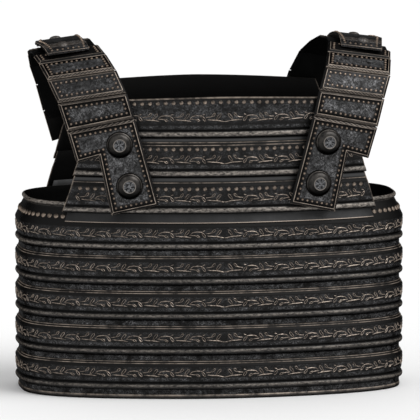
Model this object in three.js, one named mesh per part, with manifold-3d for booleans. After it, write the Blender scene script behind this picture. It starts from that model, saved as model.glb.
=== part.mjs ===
// Laminar steel cuirass: five girth lames and a hem round the waist, three lames on the
// chest and three on the back, and two shoulder straps of riveted plates over plain bands.
// Units are millimetres. +X is the wearer's left, -Y the front, +Z up; the hem stands on z = 0.
import * as THREE from 'three';
import { mergeVertices } from 'three/addons/utils/BufferGeometryUtils.js';
import Module from 'manifold-3d';

const wasm = await Module();
wasm.setup();

// Plan of the body, at the outermost face of the lames: |x/HALF_WIDTH|^1.6 + |y/HALF_DEPTH|^3.2 = 1.
const HALF_WIDTH = 209.5;
const HALF_DEPTH = 122;
const PLAN_POWER_X = 1.6;
const PLAN_POWER_Y = 3.2;
const PLAN_STATIONS = 40;

// Girth lames, counted from the top. Each one's neck is tucked under the lame above it.
const GIRTH_LAME_COUNT = 5;
const LOWEST_LAME_BOTTOM = 9.8;
const LAME_PITCH = 37.8;
const TUCK = 8;

// Section of a lame: up is measured from its lower edge, inset from the outermost face.
const WALL_INSET = 3.3;
const NECK_INSET = 3.7;
const NECK_INNER_INSET = 5.4;
const LOWER_EDGE = [
  { up: 0, inset: WALL_INSET },
  { up: 1.8, inset: 1.2 },
  { up: 4.6, inset: 0 },
  { up: 7.4, inset: 0.5 },
  { up: 9, inset: 1.5 },
];
const SHOULDER_UP = 25.4;
const SLANT_RISE = 6;

// The top girth lame narrows to a collar with a rolled rim.
const COLLAR_SHOULDER_UP = 24.5;
const COLLAR_UP = 41.8;
const RIM_UP = 49.4;
const COLLAR_INSET = 8.2;
const RIM_INSET = 7.4;
const COLLAR_INNER_INSET = 10;

const HEM_TOP = LOWEST_LAME_BOTTOM + TUCK;
const HEM_BEAD_HEIGHT = 4;
const HEM_BEAD_INSET = 3.1;

// Chest and back lames, counted from the top, with half their width at the lower and upper edge.
const PANEL_LAMES = [
  { bottom: 282, top: 326, lowHalf: 148, topHalf: 134 },
  { bottom: 239.6, top: 282, lowHalf: 159.4, topHalf: 146 },
  { bottom: 199.9, top: 239.6, lowHalf: 170.4, topHalf: 157.4 },
];
const TOP_CORNER_RISE = 11;
const TOP_CORNER_RUN = 4.5;
const PANEL_SHOULDER_BELOW_TOP = 10.4;

// The neckline dips towards its ends: by this much where it is this far from the middle.
const NECKLINE_SAG = 2.2;
const NECKLINE_SAG_HALF = 87;

// Joining strip: lies on the slant of the collar and runs up behind the lowest panel lame.
const STRIP_LOW_HALF = 168;
const STRIP_TOP_HALF = 159;
const STRIP_SECTION = [
  { z: 190, inset: 0.4 },
  { z: 201.4, inset: 5.4 },
  { z: 216, inset: 5.4 },
  { z: 216, inset: 7 },
  { z: 202.2, inset: 7 },
  { z: 190, inset: 1.8 },
];

// Shoulder straps: where the plates meet, at the inner and the outer edge of the front half.
const STRAP_STATIONS = [
  { name: 'end plate', inner: [96.2, -117.6, 303.9], outer: [168.3, -107.2, 289.3] },
  { name: 'second plate', inner: [103.9, -110, 330.7], outer: [176.9, -98.72, 319.2] },
  { name: 'third plate', inner: [113.1, -92.9, 353.9], outer: [186, -81.52, 342.6] },
  { name: 'fourth plate', inner: [119.8, -62.2, 367.2], outer: [191.3, -50.25, 356.5] },
  { name: 'fifth plate', inner: [125.1, -34.3, 375], outer: [194.4, -27.84, 363] },
];
const STRAP_CREST = { inner: [127, 0, 379], outer: [196, 0, 366.4] };
const STATION_SINK = 0.8;
const PLATE_RIM = 0.9;
const PLATE_RISE = 2.1;
const PLATE_BEVEL = 3.5;
const PLATE_END_GAP = 0.5;
const PLATE_LOW_TAPER = 0.5;
const BAND_GAP = 0.35;
const BAND_THICKNESS = 1.6;
const BAND_EDGE_INSET = 2.2;
const BAND_TUCK = 9;
const BAND_TUCK_INNER = -0.45;
const BAND_TUCK_OUTER = 69;

// The L-shaped end plate, in its own plane: across from the inner edge, up from the top edge.
const END_PLATE_OUTLINE = [
  { across: 0, up: -0.3 },
  { across: -6.5, up: -96.8 },
  { across: 45.4, up: -97.3 },
  { across: 46.2, up: -32.8 },
  { across: 70.6, up: -34.6 },
  { across: 73.8, up: -0.3 },
];
const LEG_FOOT_INNER = [74.6, -119.2, 211.3];

// Bosses that pin each end plate to the panel lames.
const BOSSES = [
  { name: 'upper', across: 21.7, up: -24.6 },
  { name: 'lower', across: 20.2, up: -70.3 },
];
const BOSS_RADIUS = 13.8;
const BOSS_HEIGHT = 6.6;
const BOSS_DISC_RADIUS = 7;
const BOSS_DISC_DEPTH = 0.8;
const SHANK_RADIUS = 4;
const SHANK_HOLE_RADIUS = 4.4;
const SHANK_END_GAP = 0.6;
const BOSS_SIDES = 20;
const SHANK_SIDES = 10;

// Shoulder cap: a small arched plate over the crest, with a domed stud near each end.
const CAP_INNER_X = 137;
const CAP_OUTER_X = 181.5;
const CAP_INNER_LEAN = 4.3;
const CAP_OUTER_LEAN = 8;
const CAP_HALF_LENGTH = 50.5;
const CAP_CREST_Z = 382.2;
const CAP_DROP = 8.2;
const CAP_BEND = 2.6;
const CAP_SLOPE = 0.13;
const CAP_THICKNESS = 2.6;
const CAP_STEPS = 8;
const STUD_X = 163.7;
const STUD_Y = 33;
const STUD_RADIUS = 6.6;
const STUD_HEIGHT = 2.9;
const STUD_SINK = 1.4;

const GAP = 0.3;

const STEEL = new THREE.MeshStandardMaterial({ color: 0x232323, roughness: 0.5, metalness: 0.9 });
const STRAP_STEEL = new THREE.MeshStandardMaterial({ color: 0x2c2c2c, roughness: 0.45, metalness: 0.9 });
const PLAIN_STEEL = new THREE.MeshStandardMaterial({ color: 0x3a3a3a, roughness: 0.55, metalness: 0.85 });
const BOSS_STEEL = new THREE.MeshStandardMaterial({ color: 0x1b1b1b, roughness: 0.35, metalness: 0.9 });

const vector = (list) => new THREE.Vector3(list[0], list[1], list[2]);
const lerp = THREE.MathUtils.lerp;

// ---------------------------------------------------------------- solids from sections

function signedVolume(positions, index) {
  let volume = 0;
  for (let face = 0; face < index.length; face += 3) {
    const [a, b, c] = [0, 1, 2].map((corner) => positions[index[face + corner]]);
    volume += a.dot(b.clone().cross(c)) / 6;
  }
  return volume;
}

// Joins equal rings of points into a closed body; an open run of rings gets a flat cap at each
// end, triangulated on the ring's own flat outline.
function loft(rings, flatOutline) {
  const closed = flatOutline === null;
  const count = rings[0].length;
  const positions = rings.flat();
  const index = [];
  const bays = closed ? rings.length : rings.length - 1;
  for (let bay = 0; bay < bays; bay += 1) {
    const next = (bay + 1) % rings.length;
    for (let corner = 0; corner < count; corner += 1) {
      const after = (corner + 1) % count;
      const a = bay * count + corner;
      const b = bay * count + after;
      const c = next * count + after;
      const d = next * count + corner;
      index.push(a, b, c, a, c, d);
    }
  }
  if (!closed) {
    const outline = flatOutline.map(([across, up]) => new THREE.Vector2(across, up));
    const ringTurn = Math.sign(THREE.ShapeUtils.area(outline));
    const last = (rings.length - 1) * count;
    for (const [a, b, c] of THREE.ShapeUtils.triangulateShape(outline, [])) {
      const capTurn = Math.sign(THREE.ShapeUtils.area([outline[a], outline[b], outline[c]]));
      const [second, third] = capTurn === ringTurn ? [b, c] : [c, b];
      index.push(a, third, second, last + a, last + second, last + third);
    }
  }
  if (signedVolume(positions, index) < 0) {
    index.reverse();
  }
  const geometry = new THREE.BufferGeometry();
  const numbers = positions.flatMap((point) => point.toArray());
  geometry.setAttribute('position', new THREE.Float32BufferAttribute(numbers, 3));
  geometry.setIndex(index);
  return geometry;
}

function toManifold(geometry) {
  const bare = geometry.clone();
  bare.deleteAttribute('normal');
  bare.deleteAttribute('uv');
  const merged = mergeVertices(bare, 1e-4);
  return new wasm.Manifold(new wasm.Mesh({
    numProp: 3,
    vertProperties: new Float32Array(merged.attributes.position.array),
    triVerts: new Uint32Array(merged.index.array),
  }));
}

function toGeometry(manifold) {
  const mesh = manifold.getMesh();
  const geometry = new THREE.BufferGeometry();
  geometry.setAttribute('position', new THREE.BufferAttribute(mesh.vertProperties, 3));
  geometry.setIndex(new THREE.BufferAttribute(mesh.triVerts, 1));
  return geometry;
}

const join = (first, second) => toGeometry(toManifold(first).add(toManifold(second)));
const cut = (body, tool) => toGeometry(toManifold(body).subtract(toManifold(tool)));
const common = (first, second) => toGeometry(toManifold(first).intersect(toManifold(second)));

// The geometry mirrored across the plane where the given axis is zero, still facing outwards.
function mirrored(geometry, axis) {
  const copy = geometry.clone();
  const scale = { x: 1, y: 1, z: 1, [axis]: -1 };
  copy.scale(scale.x, scale.y, scale.z);
  copy.setIndex([...copy.index.array].reverse());
  return copy;
}

// ---------------------------------------------------------------- girth lames and panels

class PlanCurve extends THREE.Curve {
  getPoint(t) {
    const turn = t * 2 * Math.PI;
    const x = Math.sign(Math.cos(turn)) * Math.abs(Math.cos(turn)) ** (2 / PLAN_POWER_X);
    const y = Math.sign(Math.sin(turn)) * Math.abs(Math.sin(turn)) ** (2 / PLAN_POWER_Y);
    return new THREE.Vector3(HALF_WIDTH * x, HALF_DEPTH * y, 0);
  }
}

const planCurve = new PlanCurve();
planCurve.arcLengthDivisions = 4000;
const PLAN = planCurve.getSpacedPoints(PLAN_STATIONS).slice(0, PLAN_STATIONS);

// A point of a lame: a station of the plan moved inwards by inset, at height z.
function planPoint(station, { z, inset }) {
  const x = station.x * (1 - inset / HALF_WIDTH);
  const y = station.y * (1 - inset / HALF_DEPTH);
  return new THREE.Vector3(x, y, z);
}

// Half-depth of the plan at x, for the curve moved inwards by inset.
function planDepth(x, inset) {
  const across = Math.abs(x) / (HALF_WIDTH - inset);
  return (HALF_DEPTH - inset) * (1 - across ** PLAN_POWER_X) ** (1 / PLAN_POWER_Y);
}

const hoop = (section) => loft(PLAN.map((station) => section.map((row) => planPoint(station, row))), null);

// A point of a section; the rows marked as neckline sag towards the ends.
function saggedPoint(station, row) {
  const point = planPoint(station, row);
  if (row.neckline) point.z -= NECKLINE_SAG * (Math.abs(point.x) / NECKLINE_SAG_HALF) ** 1.5;
  return point;
}

// An open run of the same section along the front of the plan.
function frontRun(section) {
  const front = PLAN.filter((station) => station.y < -0.45 * HALF_DEPTH);
  const rings = front.map((station) => section.map((row) => saggedPoint(station, row)));
  return loft(rings, section.map((row) => [row.z, -row.inset]));
}

const lowerEdge = (bottom) => LOWER_EDGE.map(({ up, inset }) => ({ z: bottom + up, inset }));

// Section of a lame whose neck runs up to top, tucked behind its neighbour.
function neckedSection(bottom, shoulder, top) {
  return [
    ...lowerEdge(bottom),
    { z: shoulder, inset: 0 },
    { z: shoulder + SLANT_RISE, inset: NECK_INSET },
    { z: top, inset: NECK_INSET },
    { z: top, inset: NECK_INNER_INSET },
    { z: shoulder + SLANT_RISE, inset: NECK_INNER_INSET },
    { z: shoulder - 1, inset: WALL_INSET },
  ];
}

function collarSection(bottom) {
  return [
    ...lowerEdge(bottom),
    { z: bottom + COLLAR_SHOULDER_UP, inset: 0 },
    { z: bottom + COLLAR_UP, inset: COLLAR_INSET },
    { z: bottom + COLLAR_UP + 2.4, inset: COLLAR_INSET },
    { z: bottom + COLLAR_UP + 3.6, inset: RIM_INSET },
    { z: bottom + RIM_UP - 1.4, inset: RIM_INSET },
    { z: bottom + RIM_UP, inset: COLLAR_INSET },
    { z: bottom + RIM_UP, inset: COLLAR_INNER_INSET },
    { z: bottom + COLLAR_UP, inset: COLLAR_INNER_INSET },
    { z: bottom + COLLAR_SHOULDER_UP, inset: WALL_INSET },
  ];
}

const HEM_SECTION = [
  { z: 0, inset: HEM_BEAD_INSET + 0.5 },
  { z: 0.6, inset: HEM_BEAD_INSET },
  { z: HEM_BEAD_HEIGHT - 0.4, inset: HEM_BEAD_INSET },
  { z: HEM_BEAD_HEIGHT, inset: NECK_INSET },
  { z: HEM_TOP, inset: NECK_INSET },
  { z: HEM_TOP, inset: NECK_INNER_INSET },
  { z: 0, inset: NECK_INNER_INSET },
];

// The top panel lame has no neck: its face runs up to a slightly drawn-in edge.
function topPanelSection(bottom, top) {
  return [
    ...lowerEdge(bottom),
    { z: top - 1, inset: 0.4, neckline: true },
    { z: top, inset: 1.2, neckline: true },
    { z: top, inset: WALL_INSET, neckline: true },
  ];
}

// A wall through the front of the body, seen as the given outline from the front.
function frontPrism(outline) {
  const depth = 2 * HALF_DEPTH;
  const near = outline.map(([x, z]) => new THREE.Vector3(x, -depth, z));
  const far = outline.map(([x, z]) => new THREE.Vector3(x, 0, z));
  return loft([near, far], outline);
}

const symmetric = (side) => [...side, ...side.map(([x, z]) => [-x, z]).reverse()];

function panelLame({ bottom, top, lowHalf, topHalf }, isTop) {
  const neckTop = top + TUCK;
  const section = isTop
    ? topPanelSection(bottom, top)
    : neckedSection(bottom, top - PANEL_SHOULDER_BELOW_TOP, neckTop);
  const slope = (lowHalf - topHalf) / (top - bottom);
  const side = isTop
    ? [[lowHalf, bottom - 1], [topHalf, top - TOP_CORNER_RISE], [topHalf - TOP_CORNER_RUN, top + 1]]
    : [[lowHalf, bottom - 1], [topHalf, top], [topHalf - slope * TUCK - 1, neckTop + 1]];
  return common(frontRun(section), frontPrism(symmetric(side)));
}

function joiningStrip() {
  const lowest = STRIP_SECTION[0].z - 1;
  const highest = STRIP_SECTION[2].z + 1;
  const outline = symmetric([[STRIP_LOW_HALF, lowest], [STRIP_TOP_HALF, highest]]);
  return common(frontRun(STRIP_SECTION), frontPrism(outline));
}

// ---------------------------------------------------------------- strap plates

// A flat frame laid on three points: across runs from origin to along, out faces away from the body.
function plateFrame(origin, along, above) {
  const across = along.clone().sub(origin).normalize();
  const rise = above.clone().sub(origin);
  const out = across.clone().cross(rise).normalize();
  const up = out.clone().cross(across).normalize();
  const place = (s, r, h) => origin.clone().addScaledVector(across, s).addScaledVector(up, r)
    .addScaledVector(out, h);
  const flat = (point) => {
    const offset = point.clone().sub(origin);
    return [offset.dot(across), offset.dot(up)];
  };
  return { place, flat, out };
}

// The outline moved inwards by a distance: each corner goes to the crossing of its moved edges.
function insetOutline(outline, distance) {
  const turn = Math.sign(THREE.ShapeUtils.area(outline.map(([s, r]) => new THREE.Vector2(s, r))));
  const inward = (from, to) => {
    const run = new THREE.Vector2(to[0] - from[0], to[1] - from[1]).normalize();
    return new THREE.Vector2(-run.y * turn, run.x * turn);
  };
  return outline.map((corner, i) => {
    const before = outline[(i + outline.length - 1) % outline.length];
    const after = outline[(i + 1) % outline.length];
    const first = inward(before, corner);
    const second = inward(corner, after);
    const reach = distance / (1 + first.dot(second));
    return [corner[0] + reach * (first.x + second.x), corner[1] + reach * (first.y + second.y)];
  });
}

// An embossed plate: a straight rim, then a bevelled border that rises to the raised field.
function embossedPlate(frame, outline) {
  const field = insetOutline(outline, PLATE_BEVEL);
  const ring = (corners, height) => corners.map(([s, r]) => frame.place(s, r, height));
  return loft([ring(outline, 0), ring(outline, PLATE_RIM), ring(field, PLATE_RIM + PLATE_RISE)], outline);
}

const sunk = (point, out) => point.clone().addScaledVector(out, -STATION_SINK);

function strapCorners(stationIndex) {
  const low = STRAP_STATIONS[stationIndex];
  const high = STRAP_STATIONS[stationIndex + 1];
  return { lowInner: vector(low.inner), lowOuter: vector(low.outer), highInner: vector(high.inner),
    highOuter: vector(high.outer) };
}

// One short plate of the strap, between a station and the next one up.
function strapPlate(stationIndex) {
  const corners = strapCorners(stationIndex);
  const raw = plateFrame(corners.lowInner, corners.lowOuter, corners.highInner);
  const frame = plateFrame(
    sunk(corners.lowInner, raw.out),
    sunk(corners.lowOuter, raw.out),
    sunk(corners.highInner, raw.out),
  );
  const width = raw.flat(corners.lowOuter)[0];
  const [innerShift, innerTop] = raw.flat(corners.highInner);
  const [outerEnd, outerTop] = raw.flat(corners.highOuter);
  const outline = [
    [PLATE_LOW_TAPER, PLATE_END_GAP],
    [width - PLATE_LOW_TAPER / 2, PLATE_END_GAP],
    [outerEnd, outerTop - PLATE_END_GAP],
    [innerShift, innerTop - PLATE_END_GAP],
  ];
  return embossedPlate(frame, outline);
}

const endFoot = vector(LEG_FOOT_INNER);
const endInner = vector(STRAP_STATIONS[0].inner);
const endOuter = vector(STRAP_STATIONS[0].outer);
const endOut = plateFrame(endInner, endOuter, endFoot).out.negate();
const END_FRAME = plateFrame(
  sunk(endInner, endOut),
  sunk(endOuter, endOut),
  sunk(endInner.clone().multiplyScalar(2).sub(endFoot), endOut),
);

// A lathed body whose axis stands on the end plate at the given place.
function turnedOnEndPlate(profile, sides, { across, up }) {
  const points = profile.map(([radius, height]) => new THREE.Vector2(radius, height));
  const geometry = new THREE.LatheGeometry(points, sides);
  const turn = new THREE.Quaternion().setFromUnitVectors(new THREE.Vector3(0, 1, 0), END_FRAME.out);
  geometry.applyQuaternion(turn);
  const seat = END_FRAME.place(across, up, 0);
  geometry.translate(seat.x, seat.y, seat.z);
  return geometry;
}

const FIELD_HEIGHT = PLATE_RIM + PLATE_RISE;

// How far the shank reaches behind the plate before it meets the face of the panel.
function shankReach(boss) {
  const seat = END_FRAME.place(boss.across, boss.up, 0);
  const gapToPanel = Math.abs(seat.y) - planDepth(seat.x - SHANK_RADIUS, 0);
  return gapToPanel * Math.abs(END_FRAME.out.y) - SHANK_END_GAP;
}

function strapBoss(boss) {
  const seat = FIELD_HEIGHT + GAP;
  const top = seat + BOSS_HEIGHT;
  return turnedOnEndPlate([
    [0, -shankReach(boss)],
    [SHANK_RADIUS, -shankReach(boss)],
    [SHANK_RADIUS, seat],
    [BOSS_RADIUS, seat],
    [BOSS_RADIUS - 0.3, seat + 1.6],
    [BOSS_RADIUS - 1.8, seat + 3.8],
    [BOSS_RADIUS - 4, top - 0.7],
    [BOSS_DISC_RADIUS + 0.6, top],
    [BOSS_DISC_RADIUS, top - BOSS_DISC_DEPTH],
    [0, top - BOSS_DISC_DEPTH],
  ], BOSS_SIDES, boss);
}

function strapEndPlate() {
  const outline = END_PLATE_OUTLINE.map(({ across, up }) => [across, up]);
  const plate = embossedPlate(END_FRAME, outline);
  return BOSSES.reduce((body, boss) => cut(body, turnedOnEndPlate([
    [0, -2],
    [SHANK_HOLE_RADIUS, -2],
    [SHANK_HOLE_RADIUS, FIELD_HEIGHT + 2],
    [0, FIELD_HEIGHT + 2],
  ], SHANK_SIDES, boss)), plate);
}

// The plain band under the plates, from behind one end plate over the shoulder to the other.
function shoulderBand() {
  const tuckInner = END_FRAME.place(BAND_TUCK_INNER, -BAND_TUCK, STATION_SINK);
  const tuckOuter = END_FRAME.place(BAND_TUCK_OUTER, -BAND_TUCK, STATION_SINK);
  const half = [
    { inner: tuckInner, outer: tuckOuter },
    ...STRAP_STATIONS.map(({ inner, outer }) => ({ inner: vector(inner), outer: vector(outer) })),
  ];
  const flipped = ({ inner, outer }) => ({
    inner: inner.clone().setY(-inner.y),
    outer: outer.clone().setY(-outer.y),
  });
  const crest = { inner: vector(STRAP_CREST.inner), outer: vector(STRAP_CREST.outer) };
  const route = [...half, crest, ...half.map(flipped).reverse()];
  const rings = route.map((here, i) => {
    const before = route[Math.max(i - 1, 0)];
    const after = route[Math.min(i + 1, route.length - 1)];
    const across = here.outer.clone().sub(here.inner).normalize();
    const into = outwardOf(before, here);
    const onward = outwardOf(here, after);
    const out = into.clone().add(onward).normalize();
    const stretch = 1 / out.dot(i === 0 ? onward : into);
    const ringPoint = (edge, side, depth) => edge.clone()
      .addScaledVector(across, side * BAND_EDGE_INSET)
      .addScaledVector(out, -(STATION_SINK + depth) * stretch);
    return [
      ringPoint(here.inner, 1, BAND_GAP),
      ringPoint(here.outer, -1, BAND_GAP),
      ringPoint(here.outer, -1, BAND_GAP + BAND_THICKNESS),
      ringPoint(here.inner, 1, BAND_GAP + BAND_THICKNESS),
    ];
  });
  return loft(rings, [[0, 0], [1, 0], [1, 1], [0, 1]]);
}

// The outward direction of the strap between two rows of its route; zero when they are one row.
function outwardOf(low, high) {
  const across = low.outer.clone().sub(low.inner);
  return across.cross(high.inner.clone().sub(low.inner)).normalize();
}

// ---------------------------------------------------------------- shoulder cap

function capTop(x, y) {
  const share = Math.abs(y) / CAP_HALF_LENGTH;
  return CAP_CREST_Z - CAP_SLOPE * (x - CAP_INNER_X) - CAP_DROP * share ** CAP_BEND;
}

function shoulderCap() {
  const rings = [];
  for (let step = 0; step <= CAP_STEPS; step += 1) {
    const y = lerp(-CAP_HALF_LENGTH, CAP_HALF_LENGTH, step / CAP_STEPS);
    const crestShare = 1 - Math.abs(y) / CAP_HALF_LENGTH;
    const innerX = CAP_INNER_X + CAP_INNER_LEAN * crestShare;
    const outerX = CAP_OUTER_X + CAP_OUTER_LEAN * crestShare;
    rings.push([
      new THREE.Vector3(innerX, y, capTop(innerX, y)),
      new THREE.Vector3(outerX, y, capTop(outerX, y)),
      new THREE.Vector3(outerX, y, capTop(outerX, y) - CAP_THICKNESS),
      new THREE.Vector3(innerX, y, capTop(innerX, y) - CAP_THICKNESS),
    ]);
  }
  const arch = loft(rings, [[0, 0], [1, 0], [1, 1], [0, 1]]);
  return [-STUD_Y, STUD_Y].reduce((body, y) => join(body, domedStud(y)), arch);
}

function domedStud(y) {
  const geometry = new THREE.LatheGeometry([
    new THREE.Vector2(0, -STUD_SINK),
    new THREE.Vector2(STUD_RADIUS, -STUD_SINK),
    new THREE.Vector2(STUD_RADIUS, 0.4),
    new THREE.Vector2(STUD_RADIUS * 0.72, STUD_HEIGHT * 0.7),
    new THREE.Vector2(STUD_RADIUS * 0.36, STUD_HEIGHT * 0.94),
    new THREE.Vector2(0, STUD_HEIGHT),
  ], 12);
  const share = Math.abs(y) / CAP_HALF_LENGTH;
  const lean = Math.sign(y) * CAP_BEND * CAP_DROP / CAP_HALF_LENGTH * share ** (CAP_BEND - 1);
  const out = new THREE.Vector3(CAP_SLOPE, lean, 1).normalize();
  geometry.applyQuaternion(new THREE.Quaternion().setFromUnitVectors(new THREE.Vector3(0, 1, 0), out));
  geometry.translate(STUD_X, y, capTop(STUD_X, y));
  return geometry;
}

// ---------------------------------------------------------------- assembly

const cuirass = new THREE.Group();

function addPiece(name, geometry, material) {
  geometry.computeVertexNormals();
  const mesh = new THREE.Mesh(geometry, material);
  mesh.name = name;
  cuirass.add(mesh);
}

addPiece('hem_band', hoop(HEM_SECTION), STEEL);

for (let number = 1; number <= GIRTH_LAME_COUNT; number += 1) {
  const bottom = LOWEST_LAME_BOTTOM + (GIRTH_LAME_COUNT - number) * LAME_PITCH;
  const section = number === 1
    ? collarSection(bottom)
    : neckedSection(bottom, bottom + SHOULDER_UP, bottom + LAME_PITCH + TUCK);
  addPiece(`girth_lame_${number}`, hoop(section), STEEL);
}

const FACES = [
  { face: 'chest', strap: 'front', turn: (geometry) => geometry },
  { face: 'back', strap: 'back', turn: (geometry) => mirrored(geometry, 'y') },
];
const SIDES = [
  { side: 'left', turn: (geometry) => geometry },
  { side: 'right', turn: (geometry) => mirrored(geometry, 'x') },
];

for (const { face, turn } of FACES) {
  PANEL_LAMES.forEach((lame, i) => {
    addPiece(`${face}_lame_${i + 1}`, turn(panelLame(lame, i === 0)), STEEL);
  });
  addPiece(`${face}_joining_strip`, turn(joiningStrip()), PLAIN_STEEL);
}

for (const { side, turn: toSide } of SIDES) {
  for (const { strap, turn: toFace } of FACES) {
    addPiece(`${side}_${strap}_strap_end_plate`, toSide(toFace(strapEndPlate())), STRAP_STEEL);
    for (let station = 0; station < STRAP_STATIONS.length - 1; station += 1) {
      const name = `${side}_${strap}_strap_plate_${station + 2}`;
      addPiece(name, toSide(toFace(strapPlate(station))), STRAP_STEEL);
    }
    for (const boss of BOSSES) {
      addPiece(`${side}_${strap}_${boss.name}_boss`, toSide(toFace(strapBoss(boss))), BOSS_STEEL);
    }
  }
  addPiece(`${side}_shoulder_band`, toSide(shoulderBand()), PLAIN_STEEL);
  addPiece(`${side}_shoulder_cap`, toSide(shoulderCap()), STRAP_STEEL);
}

export default cuirass;
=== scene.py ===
# %% [markdown]
# # A laminar steel cuirass
# The real armour is a barrel of sheet-steel hoops, called lames, that overlap like roof tiles,
# with shorter lames on the chest and back and two shoulder straps of embossed plates. Nothing on
# it is soft, so every piece here is a hard surface: most are profiles spun round the body, and
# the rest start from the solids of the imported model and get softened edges.
# %% Load the frame
import math

import bmesh
import bpy
import numpy as np
from mathutils import Matrix, Vector
from mathutils.bvhtree import BVHTree


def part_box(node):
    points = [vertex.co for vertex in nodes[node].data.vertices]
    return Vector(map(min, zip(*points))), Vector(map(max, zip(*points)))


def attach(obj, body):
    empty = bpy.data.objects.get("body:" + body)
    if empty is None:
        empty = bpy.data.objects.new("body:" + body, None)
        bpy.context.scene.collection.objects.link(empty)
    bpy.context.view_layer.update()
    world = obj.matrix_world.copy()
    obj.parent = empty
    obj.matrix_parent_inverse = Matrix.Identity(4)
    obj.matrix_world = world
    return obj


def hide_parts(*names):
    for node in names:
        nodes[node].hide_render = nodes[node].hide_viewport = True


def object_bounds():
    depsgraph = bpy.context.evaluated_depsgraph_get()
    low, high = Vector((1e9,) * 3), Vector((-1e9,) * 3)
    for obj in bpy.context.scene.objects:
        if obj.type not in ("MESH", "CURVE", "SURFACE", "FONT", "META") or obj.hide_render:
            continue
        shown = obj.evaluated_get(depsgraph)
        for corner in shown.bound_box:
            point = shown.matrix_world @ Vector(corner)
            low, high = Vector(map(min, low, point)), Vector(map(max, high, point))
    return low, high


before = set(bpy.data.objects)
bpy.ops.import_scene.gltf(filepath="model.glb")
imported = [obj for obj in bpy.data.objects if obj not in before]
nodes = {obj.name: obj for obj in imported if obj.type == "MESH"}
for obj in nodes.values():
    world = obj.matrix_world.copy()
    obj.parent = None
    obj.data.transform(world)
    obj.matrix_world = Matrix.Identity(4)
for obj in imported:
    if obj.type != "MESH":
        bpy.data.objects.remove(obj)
cad_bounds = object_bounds()
MM = 0.001
print("frame nodes:", len(nodes))

# %% [markdown]
# ## The plan of the body
# Seen from above, every hoop is the same rounded oblong. An ellipse is too pointed at the sides
# and a rounded rectangle too flat in front, so the plan is a superellipse with its own power on
# each axis. Its half sizes come from a girth lame's box. A table of arc lengths lets a point be
# asked for by how far it is round the body from the middle of the chest, as a tape would say.
# %% Plan of the body by arc length
HALF_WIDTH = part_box("girth_lame_3")[1][0]
HALF_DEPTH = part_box("girth_lame_3")[1][1]
POWER_X = 1.6
POWER_Y = 3.2
PLAN_POINTS = 14401
turn = np.linspace(0.0, 2.0 * math.pi, PLAN_POINTS)
plan_x = HALF_WIDTH * np.sign(np.sin(turn)) * np.abs(np.sin(turn)) ** (2.0 / POWER_X)
plan_y = -HALF_DEPTH * np.sign(np.cos(turn)) * np.abs(np.cos(turn)) ** (2.0 / POWER_Y)
plan_run = np.concatenate([[0.0], np.cumsum(np.hypot(np.diff(plan_x), np.diff(plan_y)))])
GIRTH = float(plan_run[-1])
SPIN_RADIUS = GIRTH / (2.0 * math.pi)


def plan_at(run, inset):
    """The point of the plan at a distance round from the middle of the chest, moved inwards."""
    here = run % GIRTH
    x = float(np.interp(here, plan_run, plan_x))
    y = float(np.interp(here, plan_run, plan_y))
    return Vector((x * (1.0 - inset / HALF_WIDTH), y * (1.0 - inset / HALF_DEPTH), 0.0))


def plan_normal(run):
    """The outward direction of the plan there."""
    before = plan_at(run - 0.5 * MM, 0.0)
    after = plan_at(run + 0.5 * MM, 0.0)
    along = (after - before).normalized()
    return Vector((along.y, -along.x, 0.0))


def run_at_x(x):
    """How far round the front a given x is."""
    quarter = len(plan_run) // 4
    return float(np.interp(abs(x), plan_x[:quarter], plan_run[:quarter])) * (1.0 if x >= 0 else -1.0)


print("girth:", round(GIRTH, 3), "m")

# %% [markdown]
# ## Shader maths as Python
# Node trees are easier to read as sums than as noodles. `Value` wraps one socket so that
# `+ - * /` add Math nodes, and `Finish` wraps a material: it makes any other node from its
# type, its settings and the values or links of its inputs.
# %% Socket maths
class Value:
    """One number socket of a node tree, with Python's operators adding Math nodes."""

    def __init__(self, finish, socket):
        self.finish = finish
        self.socket = socket

    def math(self, operation, *others, clamp=False):
        settings = {"operation": operation, "use_clamp": clamp}
        made = self.finish.node("ShaderNodeMath", settings, {i: v for i, v in enumerate((self, *others))})
        return Value(self.finish, made.outputs[0])

    def __add__(self, other):
        return self.math("ADD", other)

    def __radd__(self, other):
        return self.math("ADD", other)

    def __sub__(self, other):
        return self.math("SUBTRACT", other)

    def __rsub__(self, other):
        return self.finish.number(other).math("SUBTRACT", self)

    def __mul__(self, other):
        return self.math("MULTIPLY", other)

    def __rmul__(self, other):
        return self.math("MULTIPLY", other)

    def __truediv__(self, other):
        return self.math("DIVIDE", other)

    def __rtruediv__(self, other):
        return self.finish.number(other).math("DIVIDE", self)

    def clamped(self):
        return self.math("ADD", 0.0, clamp=True)


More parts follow.
